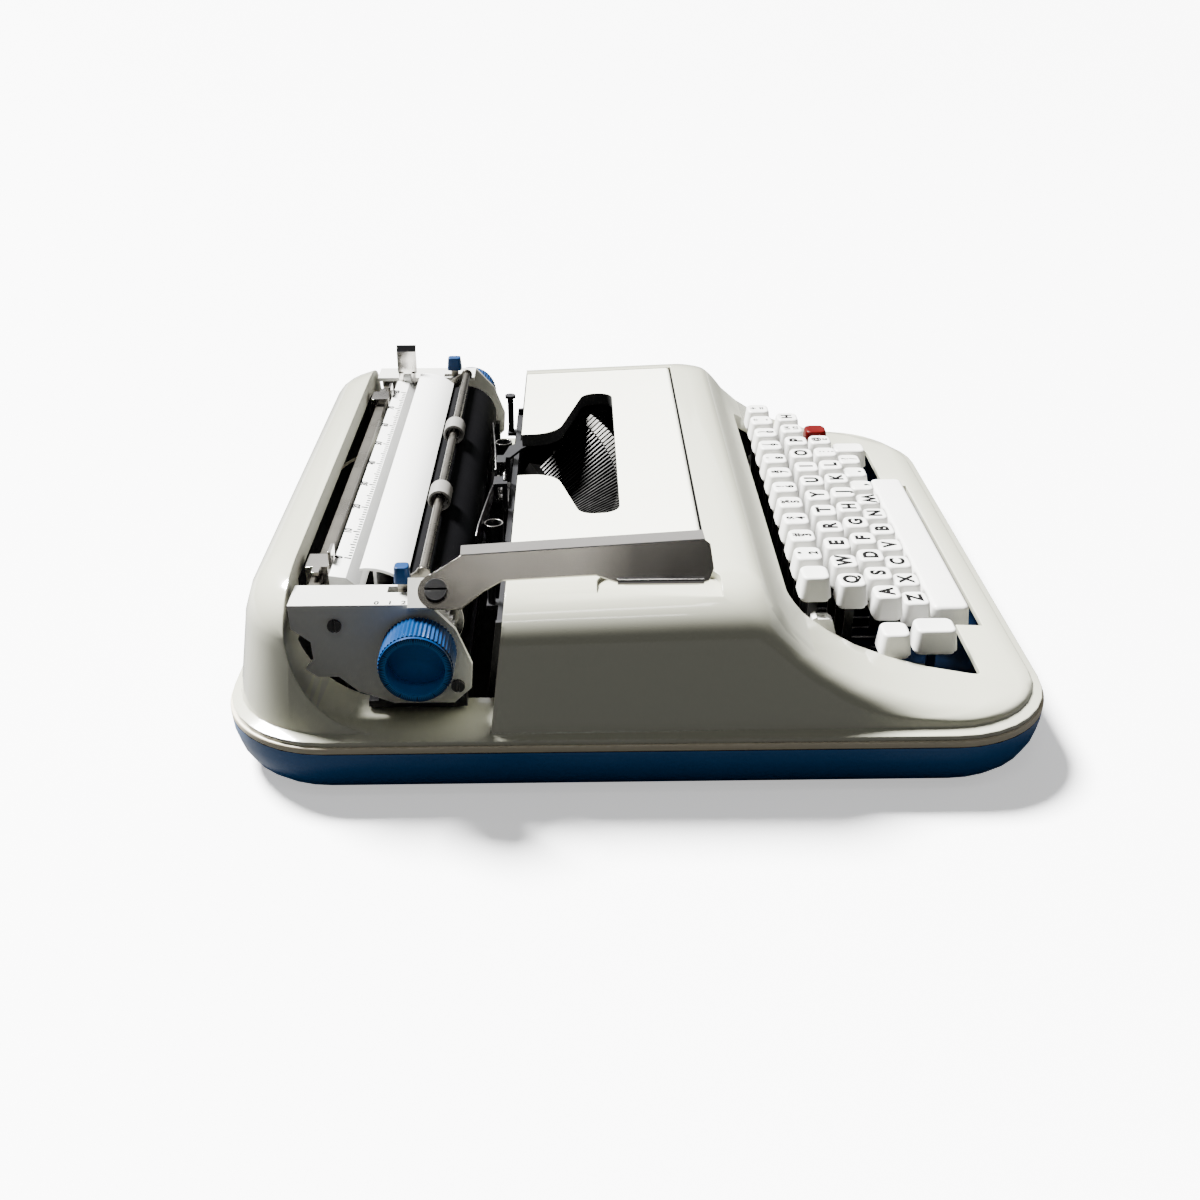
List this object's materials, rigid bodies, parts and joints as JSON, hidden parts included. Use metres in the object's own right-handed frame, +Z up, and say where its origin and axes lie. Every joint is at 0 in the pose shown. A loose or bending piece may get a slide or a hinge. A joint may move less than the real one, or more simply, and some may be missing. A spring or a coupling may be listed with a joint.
{
  "type": "portable manual typewriter",
  "caption": "Low portable manual typewriter in a tub base: sliding carriage with platen, folding return lever, hinged ribbon cover and a sprung keyboard.",
  "frame": {"origin": "on the desk plane under the middle of the base", "axes": "+X to the typist's right, +Y from the keyboard to the rear, +Z up"},
  "size_m": [0.326, 0.336, 0.098],
  "materials": {
    "tub_blue": "satin blue paint",
    "rim_beige": "semi-gloss beige plastic",
    "shell_cream": "glossy off-white plastic",
    "cover_cream": "satin off-white paint",
    "black_steel": "black enamel on steel",
    "dark_steel": "oiled dark steel",
    "bright_steel": "bright steel",
    "polished": "polished plating",
    "grey_paint": "light grey paint",
    "white_paint": "white paint",
    "key_white": "white key plastic",
    "key_red": "red key plastic",
    "blue_plastic": "blue plastic",
    "platen_rubber": "hard black rubber",
    "foot_rubber": "black rubber",
    "roller_grey": "light grey rubber",
    "brass": "dull brass"
  },
  "bodies": {
    "base": {"base_tub": "tub_blue", "rubber_feet": "foot_rubber", "rim_bead": "rim_beige", "body_shell": "shell_cream", "main_frame": "black_steel", "frame_screws": "bright_steel", "carriage_rail": "bright_steel", "type_segment": "dark_steel", "typebars": "dark_steel", "typebar_rest": "black_steel", "type_guide": "bright_steel", "ribbon_vibrator": "black_steel", "fulcrum_rod": "bright_steel", "key_comb": "black_steel", "bell": "brass", "cover_hinge_pins": "bright_steel"},
    "carriage": {"carriage_bed": "black_steel", "left_end_plate": "grey_paint", "right_end_plate": "grey_paint", "carriage_screws": "bright_steel", "paper_table": "white_paint", "scale_bar": "white_paint", "margin_rail": "bright_steel", "feed_rollers": "platen_rubber"},
    "platen_roll": {"platen": "platen_rubber", "platen_shaft": "bright_steel", "left_knob": "blue_plastic", "right_knob": "blue_plastic"},
    "return_lever": {"return_lever": "polished"},
    "line_space": {"line_space_lever": "bright_steel", "line_space_tip": "blue_plastic"},
    "paper_release": {"paper_release_lever": "bright_steel", "paper_release_tip": "blue_plastic"},
    "bail": {"paper_bail": "bright_steel"},
    "bail_rollers": {"bail_rollers": "roller_grey"},
    "left_margin": {"left_margin_stop": "polished"},
    "right_margin": {"right_margin_stop": "polished"},
    "clip": {"paper_clip": "polished"},
    "drum": {"mainspring_drum": "dark_steel"},
    "cover": {"ribbon_cover": "cover_cream"},
    "left_spool": {"left_ribbon_spool": "black_steel"},
    "right_spool": {"right_ribbon_spool": "black_steel"},
    "number_row": {"number_row_caps": "key_white", "number_row_levers": "dark_steel"},
    "top_row": {"top_row_caps": "key_white", "top_row_levers": "dark_steel"},
    "home_row": {"home_row_caps": "key_white", "home_row_levers": "dark_steel"},
    "bottom_row": {"bottom_row_caps": "key_white", "bottom_row_levers": "dark_steel"},
    "space": {"space_bar": "key_white"},
    "left_shift": {"left_shift_key": "key_white"},
    "right_shift": {"right_shift_key": "key_white"},
    "shift_lock": {"shift_lock_key": "key_white"},
    "margin_release": {"margin_release_key": "key_white"},
    "backspace": {"backspace_key": "key_white"},
    "tab": {"tab_key": "key_red"},
    "selector": {"ribbon_selector": "key_white"},
    "touch": {"touch_lever": "key_white"}
  },
  "joints": [
    {"name": "carriage_slide", "type": "slide", "parent": "base", "child": "carriage", "axis": [-1, 0, 0], "range_m": [-0.105, 0.105]},
    {"name": "drum_spin", "type": "hinge", "parent": "base", "child": "drum", "pos_m": [-0.078, 0.107, 0.02], "axis": [0, 0, 1], "range_deg": [-302, 302]},
    {"name": "platen_turn", "type": "hinge", "parent": "carriage", "child": "platen_roll", "pos_m": [0, 0.086, 0.059], "axis": [1, 0, 0], "continuous": true},
    {"name": "return_lever_swing", "type": "hinge", "parent": "carriage", "child": "return_lever", "pos_m": [-0.1415, 0.0783, 0.0825], "axis": [-0.7071, 0, 0.7071], "range_deg": [0, 32], "stiffness_Nm_per_rad": 0.25, "springref_deg": -20.05},
    {"name": "line_space_set", "type": "hinge", "parent": "carriage", "child": "line_space", "pos_m": [-0.13, 0.0925, 0.066], "axis": [1, 0, 0], "range_deg": [-10, 10]},
    {"name": "paper_release_swing", "type": "hinge", "parent": "carriage", "child": "paper_release", "pos_m": [0.13, 0.0925, 0.066], "axis": [1, 0, 0], "range_deg": [-10, 10]},
    {"name": "bail_lift", "type": "hinge", "parent": "carriage", "child": "bail", "pos_m": [0, 0.101, 0.07], "axis": [-1, 0, 0], "range_deg": [0, 38]},
    {"name": "bail_roller_spin", "type": "hinge", "parent": "bail", "child": "bail_rollers", "pos_m": [0, 0.0853, 0.0808], "axis": [1, 0, 0], "continuous": true},
    {"name": "left_margin_slide", "type": "slide", "parent": "carriage", "child": "left_margin", "axis": [1, 0, 0], "range_m": [-0.01, 0.085]},
    {"name": "right_margin_slide", "type": "slide", "parent": "carriage", "child": "right_margin", "axis": [1, 0, 0], "range_m": [-0.085, 0.014]},
    {"name": "clip_fold", "type": "hinge", "parent": "carriage", "child": "clip", "pos_m": [0.1224, 0.118, 0.079], "axis": [0, -1, 0], "range_deg": [0, 60]},
    {"name": "cover_hinge", "type": "hinge", "parent": "base", "child": "cover", "pos_m": [0, -0.0248, 0.08037], "axis": [1, 0, 0], "range_deg": [0, 70]},
    {"name": "left_spool_spin", "type": "hinge", "parent": "base", "child": "left_spool", "pos_m": [-0.102, 0.022, 0.065], "axis": [0, 0, 1], "continuous": true},
    {"name": "right_spool_spin", "type": "hinge", "parent": "base", "child": "right_spool", "pos_m": [0.102, 0.022, 0.065], "axis": [0, 0, 1], "continuous": true},
    {"name": "number_row_press", "type": "hinge", "parent": "base", "child": "number_row", "pos_m": [0, 0.03, 0.022], "axis": [1, 0, 0], "range_deg": [0, 5.5], "stiffness_Nm_per_rad": 4, "springref_deg": -8.59},
    {"name": "top_row_press", "type": "hinge", "parent": "base", "child": "top_row", "pos_m": [0, 0.03, 0.022], "axis": [1, 0, 0], "range_deg": [0, 4.71], "stiffness_Nm_per_rad": 4, "springref_deg": -8.59},
    {"name": "home_row_press", "type": "hinge", "parent": "base", "child": "home_row", "pos_m": [0, 0.03, 0.022], "axis": [1, 0, 0], "range_deg": [0, 4.14], "stiffness_Nm_per_rad": 4, "springref_deg": -8.59},
    {"name": "bottom_row_press", "type": "hinge", "parent": "base", "child": "bottom_row", "pos_m": [0, 0.03, 0.022], "axis": [1, 0, 0], "range_deg": [0, 3.73], "stiffness_Nm_per_rad": 4, "springref_deg": -8.59},
    {"name": "space_press", "type": "hinge", "parent": "base", "child": "space", "pos_m": [0, 0.03, 0.022], "axis": [1, 0, 0], "range_deg": [0, 2.71], "stiffness_Nm_per_rad": 4, "springref_deg": -8.59},
    {"name": "left_shift_press", "type": "hinge", "parent": "base", "child": "left_shift", "pos_m": [0, 0.03, 0.022], "axis": [1, 0, 0], "range_deg": [0, 2.94], "stiffness_Nm_per_rad": 4, "springref_deg": -8.59},
    {"name": "right_shift_press", "type": "hinge", "parent": "base", "child": "right_shift", "pos_m": [0, 0.03, 0.022], "axis": [1, 0, 0], "range_deg": [0, 2.94], "stiffness_Nm_per_rad": 4, "springref_deg": -8.59},
    {"name": "shift_lock_press", "type": "hinge", "parent": "base", "child": "shift_lock", "pos_m": [0, 0.03, 0.022], "axis": [1, 0, 0], "range_deg": [0, 3.34], "stiffness_Nm_per_rad": 4, "springref_deg": -8.59},
    {"name": "margin_release_press", "type": "hinge", "parent": "base", "child": "margin_release", "pos_m": [0, 0.03, 0.022], "axis": [1, 0, 0], "range_deg": [0, 5.5], "stiffness_Nm_per_rad": 4, "springref_deg": -8.59},
    {"name": "backspace_press", "type": "hinge", "parent": "base", "child": "backspace", "pos_m": [0, 0.03, 0.022], "axis": [1, 0, 0], "range_deg": [0, 4.71], "stiffness_Nm_per_rad": 4, "springref_deg": -8.59},
    {"name": "tab_press", "type": "hinge", "parent": "base", "child": "tab", "pos_m": [0, 0.03, 0.022], "axis": [1, 0, 0], "range_deg": [0, 4.14], "stiffness_Nm_per_rad": 4, "springref_deg": -8.59},
    {"name": "selector_swing", "type": "hinge", "parent": "base", "child": "selector", "pos_m": [-0.11022, -0.077, 0.03], "axis": [1, 0, 0], "range_deg": [-10, 10]},
    {"name": "touch_swing", "type": "hinge", "parent": "base", "child": "touch", "pos_m": [0.10942, -0.075, 0.03], "axis": [1, 0, 0], "range_deg": [-8, 8]}
  ],
  "couplings": [
    {"joint": "drum_spin", "follows": "carriage_slide", "rad_per_m": -50},
    {"joint": "right_shift_press", "follows": "left_shift_press", "ratio": 1}
  ]
}
